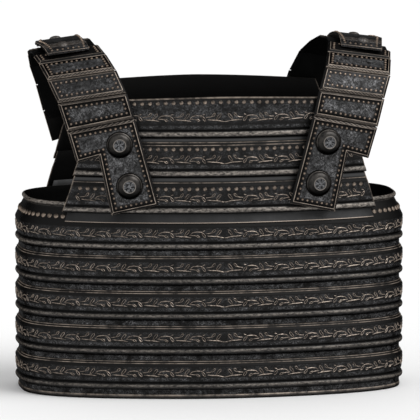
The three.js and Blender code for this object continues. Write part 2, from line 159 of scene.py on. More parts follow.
class Finish:
    """A material and the few ways of adding nodes that the finishes here need."""

    def __init__(self, name):
        self.material = bpy.data.materials.new(name)
        self.material.use_nodes = True
        self.tree = self.material.node_tree
        self.shader = self.tree.nodes["Principled BSDF"]
        self.object_place = self.node("ShaderNodeTexCoord").outputs["Object"]

    def node(self, kind, settings=None, inputs=None):
        made = self.tree.nodes.new(kind)
        for key, value in (settings or {}).items():
            if key == "stops":
                self.set_stops(made.color_ramp, value)
            else:
                setattr(made, key, value)
        for key, value in (inputs or {}).items():
            self.feed(made.inputs[key], value)
        return made

    def set_stops(self, ramp, stops):
        while len(ramp.elements) < len(stops):
            ramp.elements.new(0.5)
        for element, (place, level) in zip(ramp.elements, stops):
            element.position = place
            element.color = (level, level, level, 1.0)

    def feed(self, socket, value):
        if isinstance(value, Value):
            self.tree.links.new(value.socket, socket)
        elif isinstance(value, bpy.types.NodeSocket):
            self.tree.links.new(value, socket)
        else:
            socket.default_value = value

    def number(self, value):
        made = self.node("ShaderNodeValue")
        made.outputs[0].default_value = value
        return Value(self, made.outputs[0])

    def stretched(self, scale):
        """Object coordinates stretched by a factor on each axis."""
        made = self.node("ShaderNodeMapping", None, {"Vector": self.object_place, "Scale": scale})
        return made.outputs[0]

    def noise(self, scale, detail=4.0, roughness=0.6, place=None, distortion=0.0):
        made = self.node("ShaderNodeTexNoise", None, {
            "Vector": place or self.object_place, "Scale": scale, "Detail": detail,
            "Roughness": roughness, "Distortion": distortion})
        return Value(self, made.outputs["Fac"])

    def ramp(self, value, stops):
        made = self.node("ShaderNodeValToRGB", {"stops": stops}, {"Fac": value})
        return Value(self, made.outputs["Color"])

    def attribute(self, name):
        made = self.node("ShaderNodeAttribute", {"attribute_name": name})
        split = self.node("ShaderNodeSeparateColor", None, {"Color": made.outputs["Color"]})
        return [Value(self, socket) for socket in (*split.outputs[:3], made.outputs["Alpha"])]

    def flat_place(self, name):
        """The two numbers of a flat map laid on the mesh."""
        made = self.node("ShaderNodeUVMap", {"uv_map": name})
        split = self.node("ShaderNodeSeparateXYZ", None, {"Vector": made.outputs[0]})
        return Value(self, split.outputs[0]), Value(self, split.outputs[1])

    def blend(self, factor, first, second):
        """Colours mixed by a factor; each is a colour tuple or a colour socket."""
        made = self.node("ShaderNodeMix", {"data_type": "RGBA"}, {0: factor, 6: first, 7: second})
        return made.outputs[2]

    def bump(self, height, strength, distance):
        inputs = {"Height": height, "Strength": strength, "Distance": distance}
        return self.node("ShaderNodeBump", None, inputs).outputs[0]

    def shade(self, **sockets):
        for name, value in sockets.items():
            self.feed(self.shader.inputs[name.replace("_", " ")], value)
        return self.material


print("shader helpers ready")

# %% [markdown]
# ## Blackened steel and rubbed bronze
# The armour was blackened and then handled: high edges, rolls and rivet heads have rubbed
# through to a brown, bronze-like metal, and the flats carry pale cloudy scratches. Paint would
# hide the modelling and a plain metal would look new, so each finish mixes a black, a rubbed
# brown and a scuffed grey by masks, and some masks also paint light and shade into the colour.
# The mesh says where wear, painted shade and painted highlights belong, in a colour attribute
# named finish. On lames its red is for thin edges, its green for rolls, whose rub is also a
# painted highlight, its blue for plain smooth strips, or below nought for painted shade, and its
# alpha for pale scuffs. Strap plates use green for the hatched border and blue for the scratched
# field, and bolt heads green for the disc and blue for petals and painted shade.
# %% Colours shared by the finishes
BLACK_STEEL = (0.0165, 0.0162, 0.0160, 1.0)
# Near black: painted shade on lames, and the black margins of strap plates.
SHADE_AND_MARGIN_BLACK = (0.0015, 0.0015, 0.0015, 1.0)
SCUFF_GREY = (0.210, 0.210, 0.216, 1.0)
PLAIN_GREY = (0.078, 0.078, 0.079, 1.0)
STRIP_GREY = (0.037, 0.037, 0.0375, 1.0)
BAND_BLACK = (0.010, 0.010, 0.010, 1.0)
BRONZE = (0.40, 0.335, 0.280, 1.0)
# ROLL_BRONZE is the rubbed bronze of the rolls and of their painted highlight; bolt heads take a faint
# cloud of it.
ROLL_BRONZE = (0.48, 0.430, 0.382, 1.0)
EDGE_TINT = (0.25, 0.25, 0.25, 1.0)


def metal(finish, base, roughness, height, strength, depth):
    """A metal with a bump, whose glancing highlights are held back by a dark edge tint."""
    return finish.shade(Base_Color=base, Metallic=1.0, Roughness=roughness, Specular_Tint=EDGE_TINT,
                        Normal=finish.bump(height, strength, depth))


print("colours ready")

# %% [markdown]
# ## Lames and plain strips
# A lame's scuffs are where two patterns meet: a broad cloud and a fine, twisted grain. The rub on
# its roll, which is also a painted highlight, is broken by a streak that is squashed upwards, as a
# cloth leaves it. A plain strip needs only a faint cloud, or its wide flat would look like painted
# card.
# %% Finishes of lames and strips
def lame_finish():
    finish = Finish("blackened_lame")
    edge, roll, plain_and_shade, scuffed = finish.attribute("finish")
    cloud = finish.ramp(finish.noise(95.0, 6.0, 0.72), [(0.38, 0.0), (0.62, 1.0)])
    scratch_place = finish.stretched((1.0, 1.0, 1.5))
    scratch = finish.ramp(finish.noise(480.0, 5.0, 0.7, scratch_place, 1.8), [(0.48, 0.0), (0.62, 1.0)])
    scuffs = (cloud * scratch * scuffed).clamped()
    streak_place = finish.stretched((1.0, 1.0, 2.2))
    streak = finish.ramp(finish.noise(240.0, 6.0, 0.75, streak_place), [(0.40, 0.05), (0.63, 1.0)])
    patchy = finish.ramp(finish.noise(75.0, 5.0, 0.7), [(0.38, 0.12), (0.60, 0.85)])
    tone = finish.ramp(finish.noise(14.0, 2.0, 0.5), [(0.30, 0.7), (0.70, 1.0)])
    base = finish.blend(plain_and_shade * 0.8, BLACK_STEEL, PLAIN_GREY)
    # Blue below nought is painted shade: near black under the roll, in its groove and at the neck below
    # the next lame.
    base = finish.blend((plain_and_shade * -1.0).clamped(), base, SHADE_AND_MARGIN_BLACK)
    base = finish.blend(scuffs, base, SCUFF_GREY)
    # Green gives the rolls their rubbed bronze, which is also their painted highlight.
    base = finish.blend((roll * streak * tone).clamped(), base, ROLL_BRONZE)
    base = finish.blend((edge * patchy).clamped(), base, BRONZE)
    height = scuffs * 0.4 + streak * 0.3 + finish.noise(900.0, 2.0) * 0.2
    return metal(finish, base, 0.52 - scuffs * 0.1 - roll * 0.1, height, 0.35, 0.0004)


def plain_finish(name, colour):
    finish = Finish(name)
    edge, _, _, _ = finish.attribute("finish")
    cloud = finish.ramp(finish.noise(60.0, 5.0, 0.7), [(0.35, 0.0), (0.75, 1.0)])
    base = finish.blend(cloud * 0.04, colour, SCUFF_GREY)
    base = finish.blend(edge * 0.8, base, BRONZE)
    return metal(finish, base, 0.6 - cloud * 0.12, cloud, 0.15, 0.0003)


LAME_STEEL = lame_finish()
PLAIN_STEEL = plain_finish("plain_strip_steel", STRIP_GREY)
BAND_STEEL = plain_finish("plain_band_steel", BAND_BLACK)
print("finishes:", len(bpy.data.materials))

# %% [markdown]
# ## Strap plates, rubbed bronze and bolt heads
# The strap plates were struck with a slanting hatch along their borders, so their finish reads a
# flat map laid on those borders: a share of a turn along and across it makes the slant. Scratches
# are the thin middle band of a noise, which gives curls, where a plain cut of it gives spots.
# Bronze is one dark and one bright colour under a cloud, and a bolt head has a grained disc.
# %% Finishes of straps, bronze and bolt heads
FIELD_GREY = (0.075, 0.075, 0.077, 1.0)
SCRATCH_GREY = (0.25, 0.25, 0.255, 1.0)
HATCH_GREY = (0.235, 0.200, 0.170, 1.0)
HATCH_PITCH = 5.0
HATCH_TURNS = 3.4
BOSS_BLACK = (0.026, 0.0255, 0.025, 1.0)
DISC_BLACK = (0.020, 0.020, 0.021, 1.0)
DISC_GREY = (0.21, 0.213, 0.22, 1.0)
# Black for the pressed petals, and for painted shade on the bolt heads.
PETAL_AND_SHADE_BLACK = (0.004, 0.004, 0.004, 1.0)
RING_BRONZE = (0.26, 0.235, 0.21, 1.0)


def strap_finish():
    finish = Finish("scratched_strap")
    edge, hatched, field, _ = finish.attribute("finish")
    mottle = finish.ramp(finish.noise(170.0, 6.0, 0.75, None, 0.8), [(0.40, 0.0), (0.66, 1.0)])
    curls = finish.ramp(finish.noise(180.0, 3.0, 0.55, None, 1.5),
                        [(0.43, 0.0), (0.47, 1.0), (0.50, 1.0), (0.54, 0.0)])
    patch = finish.ramp(finish.noise(60.0, 3.0, 0.6), [(0.40, 0.3), (0.58, 1.0)])
    rubbed = (curls * (0.25 + mottle * 0.75) * patch * field).clamped()
    along, across = finish.flat_place("hatch")
    strands = finish.ramp((along / HATCH_PITCH + across * HATCH_TURNS).math("FRACT"),
                          [(0.0, 0.0), (0.22, 1.0), (0.46, 0.7), (0.74, 0.0)])
    hatch = (hatched * strands * (0.5 + mottle * 0.5)).clamped()
    base = finish.blend((field * -1.0).clamped(), BLACK_STEEL, SHADE_AND_MARGIN_BLACK)
    base = finish.blend((mottle * field).clamped(), base, FIELD_GREY)
    base = finish.blend(rubbed, base, SCRATCH_GREY)
    base = finish.blend(hatch, base, HATCH_GREY)
    patchy = finish.ramp(finish.noise(90.0, 4.0, 0.65), [(0.34, 0.35), (0.6, 1.0)])
    base = finish.blend((edge * patchy).clamped(), base, BRONZE)
    return metal(finish, base, 0.55 - rubbed * 0.12, rubbed * 0.5 + hatch * 0.6, 0.35, 0.0004)


def bronze_finish(name, dark, bright):
    finish = Finish(name)
    _, _, plain_and_shade, _ = finish.attribute("finish")
    cloud = finish.ramp(finish.noise(330.0, 4.0, 0.65), [(0.30, 0.0), (0.66, 1.0)])
    base = finish.blend(cloud, dark, bright)
    # Blue below nought is painted shade: black on the upper sides of the beads.
    base = finish.blend((plain_and_shade * -1.0).clamped(), base, BLACK_STEEL)
    return metal(finish, base, 0.5 - cloud * 0.1, cloud, 0.2, 0.0002)


def boss_finish():
    finish = Finish("boss_steel")
    ring, disc, petals_and_shade, _ = finish.attribute("finish")
    cloud = finish.ramp(finish.noise(230.0, 5.0, 0.7), [(0.36, 0.0), (0.66, 1.0)])
    grain = finish.ramp(finish.noise(650.0, 5.0, 0.75), [(0.42, 0.0), (0.60, 1.0)])
    base = finish.blend(cloud * 0.12, BOSS_BLACK, ROLL_BRONZE)
    face = finish.blend(grain, DISC_BLACK, DISC_GREY)
    base = finish.blend(disc, base, face)
    # Blue is the pressed petals and also painted shade: round the flange and under the skirt.
    base = finish.blend((petals_and_shade * 0.9).clamped(), base, PETAL_AND_SHADE_BLACK)
    base = finish.blend(ring * 0.85, base, RING_BRONZE)
    return metal(finish, base, 0.42 - cloud * 0.05, cloud * 0.6 + grain * disc * 0.4, 0.25, 0.0003)


STRAP_STEEL = strap_finish()
RUBBED_BRONZE = bronze_finish("rubbed_bronze", (0.10, 0.078, 0.062, 1.0), (0.34, 0.262, 0.205, 1.0))
SCROLL_BRONZE = bronze_finish("scroll_bronze", (0.045, 0.038, 0.033, 1.0), (0.51, 0.425, 0.355, 1.0))
BEAD_BRONZE = bronze_finish("dulled_bronze", (0.090, 0.073, 0.060, 1.0), (0.36, 0.290, 0.235, 1.0))
BOSS_STEEL = boss_finish()
print("finishes in all:", len(bpy.data.materials))

# %% [markdown]
# ## From bmesh to a finished piece
# Each piece ends the same way: its normals are recalculated, it becomes an object at the origin,
# rides on the one body, and the nodes of the frame that it replaces are hidden.
# %% Finishing helper
def finish_piece(name, bm, material, replaced=(), smooth=40.0, recalculate=True):
    if recalculate:
        bmesh.ops.recalc_face_normals(bm, faces=bm.faces)
    mesh = bpy.data.meshes.new(name)
    bm.to_mesh(mesh)
    bm.free()
    mesh.materials.append(material)
    piece = bpy.data.objects.new(name, mesh)
    bpy.context.scene.collection.objects.link(piece)
    mesh.shade_smooth()
    mesh.set_sharp_from_angle(angle=math.radians(smooth))
    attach(piece, "root")
    if replaced:
        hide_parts(*replaced)
    return piece


def finish_layer(bm):
    """The per-point colour attribute that tells the finishes where wear, painted shade and painted
    highlights belong.
    """
    return bm.verts.layers.float_color.get("finish") or bm.verts.layers.float_color.new("finish")


def everything(bm):
    """All parts of a bmesh, as bisect_plane takes them."""
    return bm.verts[:] + bm.edges[:] + bm.faces[:]


print("helpers ready")


# %% [markdown]
# ## The section of a lame
# Cut through, a lame is a thin wall whose lower edge is rolled over a wire, with a sunk groove
# above the roll, a nearly flat face for the scroll, a slant, and a narrow neck that hides under
# the next lame. The section is a short table: how far up, how far in from the outermost face, and
# which wear or painted shade belongs there. The roll is an arc, so it is worked out, and the rub
# on it fades from its crown by a power of a cosine: the higher the power, the narrower the bright
# line. That bright line is rubbed bronze and also a painted highlight, its crown set a little
# above the middle of the roll, where the light from above falls. Painted shade, near black, goes
# where shadow falls: under the roll, in the groove above it, and on the neck below the next lame.
# %% Section rows
EDGE = (1.0, 0.0, 0.0, 0.2)
ROLL = (0.0, 1.0, 0.0, 0.0)
NECK = (0.0, 0.0, 1.0, 0.0)
BARE = (0.0, 0.0, 0.0, 0.0)
# Painted shade: blue below nought turns the colour near black where shadow falls.
PAINTED_SHADE = (0.0, 0.0, -1.0, 0.0)
WORN = (0.0, 0.0, 0.0, 0.45)
WELL_WORN = (0.0, 0.0, 0.0, 0.85)
SCUFFED = (0.0, 0.0, 0.0, 1.0)
RIM_EDGE = (0.8, 0.0, 0.0, 0.0)
WALL = 3.3
NECK_INSET = 3.7
NECK_INNER = 5.4
ROLL_CENTRE_UP = 3.7
ROLL_HALF_HEIGHT = 3.3
ROLL_DEPTH = 2.7
ROLL_ROWS = 9
ROLL_SWEEP = 168.0
COVERED_NECK = 10.0


def rolled_edge(bottom, rub=1.0, narrowness=5.0):
    """The lower edge: inner corner, the half-round roll, and the groove above it."""
    # The inner corner under the roll is painted shade, and so is the groove above the roll.
    rows = [(bottom, WALL, PAINTED_SHADE)]
    for step in range(ROLL_ROWS):
        angle = math.radians(ROLL_SWEEP * (step / (ROLL_ROWS - 1) - 0.5))
        up = ROLL_CENTRE_UP + ROLL_HALF_HEIGHT * math.sin(angle)
        inset = ROLL_DEPTH * (1.0 - math.cos(angle))
        # The rub on the roll is also a painted highlight: brightest a little above its middle, where the
        # light from above falls, and narrower for a higher power.
        strength = rub * max(0.0, math.cos(angle - math.radians(1.2 * narrowness))) ** narrowness
        rows.append((bottom + up, inset, (0.0, strength, 0.0, 0.2)))
    rows += [(bottom + 7.7, 2.5, PAINTED_SHADE), (bottom + 8.8, 1.9, BARE), (bottom + 10.4, 1.1, SCUFFED)]
    return rows


def face_rows(bottom, shoulder, worn=WORN):
    """The slightly hollow face, up to the shoulder."""
    return [(bottom + 12.4, 0.85, SCUFFED), (bottom + 14.2, 0.7, BARE),
            (bottom + 0.62 * (shoulder - bottom), 0.55, worn), (shoulder - 4.0, 0.4, worn),
            (shoulder - 1.2, 0.1, worn), (shoulder, 0.0, BARE), (shoulder + 0.9, 0.25, BARE)]


SLANT_FOOT = 0.9
SLANT_HEAD = 6.0
SLANT_LEAN = (NECK_INSET - 0.25) / (SLANT_HEAD - SLANT_FOOT)


def chased_line(shoulder, up):
    """A thin raised line across the slant, as chased with a blunt punch."""
    inset = 0.25 + SLANT_LEAN * (up - SLANT_FOOT)
    return [(shoulder + up - 0.55, inset - SLANT_LEAN * 0.55, BARE),
            (shoulder + up - 0.22, inset - 0.35, EDGE), (shoulder + up + 0.22, inset - 0.35, EDGE),
            (shoulder + up + 0.55, inset + SLANT_LEAN * 0.55, BARE)]


def necked_rows(bottom, shoulder, top, lines, neck, rub, narrowness=5.0):
    """A lame's section; lines are the heights of its chased lines above the shoulder."""
    rows = [*rolled_edge(bottom, rub, narrowness), *face_rows(bottom, shoulder)]
    for up in lines:
        rows += chased_line(shoulder, up)
    # From a little below the next lame's roll, the neck is painted shade.
    covered_from = top - COVERED_NECK
    return rows + [
        (shoulder + 6.8, NECK_INSET, neck), (covered_from, NECK_INSET, neck),
        (covered_from + 1.6, NECK_INSET, PAINTED_SHADE), (top, NECK_INSET, PAINTED_SHADE), (top, NECK_INNER, BARE),
        (shoulder + 6.0, NECK_INNER, BARE), (shoulder - 1.0, WALL, BARE)]


GIRTH_LINES = (3.4, 5.5)
# The girth lames' visible neck: scuffed, and painted a little darker as shade under the roll of the lame
# above.
GIRTH_NECK_SCUFFED_AND_SHADED = (0.0, 0.0, -0.35, 0.9)
# How bright and how narrow the rub and painted highlight on a girth roll are.
GIRTH_RUB_AND_HIGHLIGHT = 0.56
GIRTH_NARROWNESS = 13.0
print("rows in a necked section:", len(necked_rows(0.0, 25.4, 45.8, GIRTH_LINES, GIRTH_NECK_SCUFFED_AND_SHADED, 1.0)))

# %% [markdown]
# ## Spinning a hoop and pressing it to the plan
# `bmesh.ops.spin` sweeps the section round a circle whose length is the girth, so a step of the
# spin is a step along the tape. Every point is then moved from the circle to the same distance
# round the plan. A sweep along a curve object would do it too, but its section twists and
# thickens at tight corners, and a spin can't.
# %% Hoops
SPIN_STEPS = 208


def spun_section(rows, span, steps):
    """A section swept over a length of the girth, still on the spin circle."""
    bm = bmesh.new()
    layer = finish_layer(bm)
    ring = []
    for up, inset, wear in rows:
        vert = bm.verts.new((0.0, -(SPIN_RADIUS - inset * MM), up * MM))
        vert[layer] = wear
        ring.append(vert)
    edges = [bm.edges.new((ring[i], ring[(i + 1) % len(ring)])) for i in range(len(ring))]
    start = -0.5 * span / SPIN_RADIUS
    bmesh.ops.rotate(bm, verts=ring, cent=(0, 0, 0), matrix=Matrix.Rotation(start, 3, "Z"))
    closed = span >= GIRTH - 1e-6
    bmesh.ops.spin(bm, geom=ring + edges, cent=(0, 0, 0), axis=(0, 0, 1),
                   angle=span / SPIN_RADIUS, steps=steps, use_merge=closed)
    if closed:
        bmesh.ops.remove_doubles(bm, verts=bm.verts, dist=0.02 * MM)
    return bm


def press_to_plan(bm, side=1.0):
    """Moves each point from the spin circle to the plan; side -1 puts it on the back."""
    for vert in bm.verts:
        radius = math.hypot(vert.co.x, vert.co.y)
        run = math.atan2(vert.co.x, -vert.co.y) * SPIN_RADIUS
        place = plan_at(run, SPIN_RADIUS - radius)
        vert.co = Vector((place.x, place.y * side, vert.co.z))


def hoop(name, rows):
    bm = spun_section(rows, GIRTH, SPIN_STEPS)
    press_to_plan(bm)
    return finish_piece(f"{name}_steel", bm, LAME_STEEL, [name])


def level(node):
    """The bottom and top of a node, in millimetres."""
    low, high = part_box(node)
    return low[2] / MM, high[2] / MM


SHOULDER_UP = 25.4
for number in range(2, 6):
    bottom, top = level(f"girth_lame_{number}")
    hoop(f"girth_lame_{number}", necked_rows(
        bottom, bottom + SHOULDER_UP, top, GIRTH_LINES, GIRTH_NECK_SCUFFED_AND_SHADED, GIRTH_RUB_AND_HIGHLIGHT, GIRTH_NARROWNESS))
print("girth lames made, steps each:", SPIN_STEPS)

# %% [markdown]
# ## The collar and the hem
# The top lame slants in to a collar whose rim is rolled outwards, so that it doesn't bite under
# the arm. The lowest band is plain, with a small bead where it ends.
# %% Collar lame and hem
bottom, rim = level("girth_lame_1")
COLLAR_SHOULDER = bottom + 24.5
COLLAR_FOOT = rim - 7.6
COLLAR_SLANT_TOP = COLLAR_FOOT - 1.2
COLLAR_SLANT_INSET = 7.6
COLLAR_INNER = 10.0
# How bright and how narrow the rub and painted highlight on the collar's roll are.
COLLAR_RUB_AND_HIGHLIGHT = 0.76
COLLAR_NARROWNESS = 8.0
RIM_HALF_HEIGHT = 2.3
RIM_DEPTH = 1.9
RIM_INSET = 9.2
RIM_ROWS = 8
rim_rows = []
for step in range(RIM_ROWS):
    angle = math.radians(-90.0 + 180.0 * step / (RIM_ROWS - 1))
    up = rim - RIM_HALF_HEIGHT + RIM_HALF_HEIGHT * math.sin(angle)
    strength = 0.25 + 0.75 * max(0.0, math.sin(angle + math.radians(40.0)))
    rim_rows.append((up, RIM_INSET - RIM_DEPTH * math.cos(angle), (0.0, strength, 0.0, 0.2)))
hoop("girth_lame_1", [
    *rolled_edge(bottom, COLLAR_RUB_AND_HIGHLIGHT, COLLAR_NARROWNESS), *face_rows(bottom, COLLAR_SHOULDER),
    (COLLAR_SLANT_TOP, COLLAR_SLANT_INSET, BARE), (COLLAR_FOOT, 8.4, BARE),
    (COLLAR_FOOT + 1.6, 8.9, BARE), *rim_rows, (rim, COLLAR_INNER, BARE),
    (COLLAR_FOOT, COLLAR_INNER, BARE), (COLLAR_SHOULDER, WALL, BARE)])

HEM_BEAD = (0.3, 0.0, 0.3, 0.4)
hem_low, hem_top = level("hem_band")
hoop("hem_band", [
    (hem_low, 3.8, BARE), (hem_low + 0.5, 3.3, BARE), (hem_low + 1.4, 3.1, BARE),
    (hem_low + 3.2, 3.1, HEM_BEAD), (hem_low + 3.8, 3.2, EDGE), (hem_low + 4.3, 3.6, EDGE),
    (hem_low + 4.8, NECK_INSET, GIRTH_NECK_SCUFFED_AND_SHADED), (hem_top, NECK_INSET, GIRTH_NECK_SCUFFED_AND_SHADED),
    (hem_top, NECK_INNER, BARE), (hem_low, NECK_INNER, BARE)])
print("collar and hem made")

# %% [markdown]
# ## Chest and back lames
# These are the same sections over part of the girth, cut to a trapezoid by a plane on each side,
# which is what `bisect_plane` is for: it cuts the swept wall, throws the outside away, and the
# open ends are filled. One more cut a little inside each edge, that throws nothing away, gives
# the rubbed line down the side a place to end. The top lame also dips towards its ends, to clear
# the collar bones, and its two upper corners are cut off, so it goes through the cut twice.
# %% Panels
PANEL_STEPS = 96
PANEL_REACH = 0.178
EDGE_LINE = 1.1
EDGE_CATCH = 0.2
CUT_CORNER_RISE = 11.0
CUT_CORNER_RUN = 4.5
NECKLINE_SAG = 2.2
NECKLINE_HALF = 0.087
SAG_ABOVE_ROLL = 9.0


def neckline_sag(x, up, bottom, top):
    """How far the top lame dips, in metres, growing from its roll to its upper edge."""
    share = min(1.0, max(0.0, (up - bottom - SAG_ABOVE_ROLL) / (top - bottom - SAG_ABOVE_ROLL - 1.0)))
    return share * NECKLINE_SAG * MM * (abs(x) / NECKLINE_HALF) ** 1.5


def cut_sides(bm, low, high):
    """Cuts both sides of a wall along the line through (x, z) low and high, in metres."""
    run = Vector((high[0] - low[0], 0.0, high[1] - low[1])).normalized()
    outward = Vector((run.z, 0.0, -run.x))
    outward = outward if outward.x > 0 else -outward
    layer = finish_layer(bm)
    for side in (1.0, -1.0):
        normal = Vector((outward.x * side, 0.0, outward.z))
        corner = Vector((low[0] * side, 0.0, low[1]))
        cut = bmesh.ops.bisect_plane(bm, geom=everything(bm), plane_co=corner, plane_no=normal,
                                     clear_outer=True)
        edges = [item for item in cut["geom_cut"] if isinstance(item, bmesh.types.BMEdge)]
        bmesh.ops.triangle_fill(bm, edges=edges, use_beauty=True)
        inside = corner - normal * EDGE_LINE * MM
        bmesh.ops.bisect_plane(bm, geom=everything(bm), plane_co=inside, plane_no=normal)
        for vert in bm.verts:
            if (vert.co - corner).dot(normal) > -EDGE_CATCH * MM:
                vert[layer] = EDGE


def panel_lame(face, number, rows, panel):
    """One lame of a panel; the top one of each face also gets its dip and its cut corners."""
    name = f"{face}_lame_{number}"
    bottom, top = level(name)
    top -= panel["tuck"]
    bm = spun_section(rows, 2.0 * run_at_x(PANEL_REACH), PANEL_STEPS)
    press_to_plan(bm, WAY[face])
    cut_sides(bm, (panel["low_half"], bottom * MM), (panel["top_half"], top * MM))
    if number == 1:
        for vert in bm.verts:
            vert.co.z -= neckline_sag(vert.co.x, vert.co.z / MM, bottom, top)
        cut_sides(bm, (panel["top_half"], (top - CUT_CORNER_RISE) * MM),
                  (panel["top_half"] - CUT_CORNER_RUN * MM, (top + 1.0) * MM))
    return finish_piece(f"{name}_steel", bm, LAME_STEEL, [name])


WAY = {"chest": 1.0, "back": -1.0}
PANELS = {
    1: {"low_half": 0.148, "top_half": 0.134, "tuck": 0.0, "lines": ()},
    2: {"low_half": 0.1594, "top_half": 0.146, "tuck": 8.0, "lines": (2.4, 5.2)},
    3: {"low_half": 0.1704, "top_half": 0.1574, "tuck": 8.0, "lines": (4.3,)},
}
TOP_SHOULDER_DROP = 7.5
PANEL_SHOULDER_DROP = 10.4


def panel_shoulder(name, number):
    """The height where a panel lame's flat face ends."""
    top = level(name)[1] - PANELS[number]["tuck"]
    return top - (TOP_SHOULDER_DROP if number == 1 else PANEL_SHOULDER_DROP)


def top_rows(bottom, shoulder, top):
    """The top lame has no neck: its face runs up to a rubbed rim."""
    return [*rolled_edge(bottom), *face_rows(bottom, shoulder, WELL_WORN)[:5],
            (top - 1.7, 0.3, BARE), (top - 1.2, 0.2, RIM_EDGE), (top - 0.3, 0.2, RIM_EDGE),
            (top, 0.6, RIM_EDGE), (top, WALL, BARE)]


for face in WAY:
    for number, panel in PANELS.items():
        bottom, top = level(f"{face}_lame_{number}")
        shoulder = panel_shoulder(f"{face}_lame_{number}", number)
        if number == 1:
            rows = top_rows(bottom, shoulder, top)
        else:
            rows = necked_rows(bottom, shoulder, top, panel["lines"], NECK, 1.0)
        panel_lame(face, number, rows, panel)
print("panels made, steps each:", PANEL_STEPS)

# %% [markdown]
# ## Beads and the leaf scroll
# Each lame carries a running scroll of leaves, punched up from behind, and the chest, back and
# collar also have a row of round beads. The pattern is drawn flat, in millimetres, as thin
# ridges: a leaf is a closed loop, a stem a tapered stroke. It repeats along the tape and is
# mirrored about the middle, and then every point is pressed to the plan at its own height, the
# way a pattern strip is bent round a former. Real ridges catch light from every side, where a
# bump texture would go flat at the outline. One extra stroke joins the two halves at the middle.
# %% Ridges of the scroll
def add_dome(bm, place, normal, radius, height, around=8, up=4):
    """A low dome standing on a surface: a sphere squashed along the normal."""
    turn_up = normal.to_track_quat("Z", "Y").to_matrix().to_4x4()
    shape = Matrix.Diagonal((1.0, 1.0, height / radius, 1.0))
    return bmesh.ops.create_uvsphere(bm, u_segments=around, v_segments=up, radius=radius,
                                     matrix=Matrix.Translation(place) @ turn_up @ shape)["verts"]


UNIT_LENGTH = 34.0
REPEATS_A_SIDE = 16
REPEAT = 0.5 * GIRTH / REPEATS_A_SIDE
LOOP_POINTS = 8
LEAVES = [
    {"base": (-2.9, 2.9), "tip": (2.1, 9.1), "width": 2.5},
    {"base": (15.6, 6.2), "tip": (19.5, 1.2), "width": 2.3},
    {"base": (9.3, 3.1), "tip": (13.4, 1.2), "width": 1.9},
    {"base": (26.3, 6.0), "tip": (29.9, 9.5), "width": 2.2},
]
STEMS = [
    {"path": [(2.6, 3.8), (5.7, 6.4), (10.4, 7.1), (15.8, 6.7)], "halves": (0.2, 0.55, 0.6, 0.4)},
    {"path": [(2.4, 3.3), (5.7, 3.3), (9.3, 2.9)], "halves": (0.25, 0.45, 0.35)},
    {"path": [(20.0, 5.2), (23.4, 5.4), (26.4, 6.2)], "halves": (0.3, 0.5, 0.4)},
    {"path": [(21.6, 2.7), (26.0, 2.2), (32.2, 1.9), (38.0, 1.0)], "halves": (0.3, 0.62, 0.6, 0.2)},
    {"path": [(16.6, 7.8), (19.0, 8.5)], "halves": (0.45, 0.5)},
]
SEAM_STROKE = ([(0.6, 1.3), (3.2, 0.7), (5.6, 0.5)], (0.3, 0.5, 0.4), False)
LOOP_HALF = 0.30
STEM_SLIMMING = 0.85
SEAM_SHIFT = 6.0
SEAM_GAP = 0.3
RIDGE_LIFT = 0.1
HALF_GIRTH = 0.5 * GIRTH / MM


def leaf_loop(leaf):
    """The outline of a leaf: round at the tip and narrow where it leaves the stem."""
    base = Vector(leaf["base"])
    along = Vector(leaf["tip"]) - base
    across = Vector((-along.y, along.x)).normalized() * leaf["width"] * 0.5
    loop = []
    for k in range(LOOP_POINTS):
        angle = 2.0 * math.pi * k / LOOP_POINTS
        share = 0.5 - 0.5 * math.cos(angle)
        loop.append(base + along * share + across * math.sin(angle) * (0.7 + 0.5 * share))
    return [(point.x, point.y) for point in loop]


def unit_strokes():
    strokes = [(leaf_loop(leaf), [LOOP_HALF] * LOOP_POINTS, True) for leaf in LEAVES]
    return strokes + [(stem["path"], stem["halves"], False) for stem in STEMS]


def flat_scroll(reach, limit):
    """Both halves of the pattern as one flat mesh, with no stroke past the limit (in mm)."""
    curve = bpy.data.curves.new("scroll_strokes", "CURVE")
    curve.dimensions = "3D"
    curve.bevel_depth = MM
    curve.bevel_resolution = 0
    curve.use_fill_caps = True
    stretch = REPEAT / (UNIT_LENGTH * MM)
    for unit in range(reach + 1):
        for path, halves, closed in unit_strokes() + ([SEAM_STROKE] if unit == 0 else []):
            placed = [((x - UNIT_LENGTH * unit - SEAM_SHIFT) * stretch, y) for x, y in path]
            if min(x for x, y in placed) < -limit or max(x for x, y in placed) > -SEAM_GAP:
                continue
            for side in (1.0, -1.0):
                spline = curve.splines.new("POLY")
                spline.points.add(len(placed) - 1)
                for point, (x, y), half in zip(spline.points, placed, halves):
                    point.co = (x * side * MM, y * MM, 0.0, 1.0)
                    point.radius = half if closed else half * STEM_SLIMMING
                spline.use_cyclic_u = closed
    holder = bpy.data.objects.new("scroll_strokes", curve)
    mesh = bpy.data.meshes.new_from_object(holder)
    bm = bmesh.new()
    bm.from_mesh(mesh)
    bpy.data.objects.remove(holder)
    bpy.data.curves.remove(curve)
    bpy.data.meshes.remove(mesh)
    return bm


def face_inset(up, bottom, shoulder):
    """How far in the lame's face is at a height, read from its own section table."""
    rows = [row for row in (*rolled_edge(bottom), *face_rows(bottom, shoulder)) if row[0] > bottom + 7.0]
    return float(np.interp(up, [row[0] for row in rows], [row[1] for row in rows]))


def add_scroll(name, bottom, shoulder, foot, reach=REPEATS_A_SIDE,
               limit=HALF_GIRTH - SEAM_GAP, side=1.0):
    """Presses the flat scroll on a lame, its foot a given height above the lower edge."""
    bm = flat_scroll(reach, limit)
    for vert in bm.verts:
        up = bottom + foot + vert.co.y / MM
        proud = vert.co.z / MM + RIDGE_LIFT
        place = plan_at(vert.co.x, (face_inset(up, bottom, shoulder) - proud) * MM)
        vert.co = Vector((place.x, place.y * side, up * MM))
    return finish_piece(f"{name}_scroll", bm, SCROLL_BRONZE)


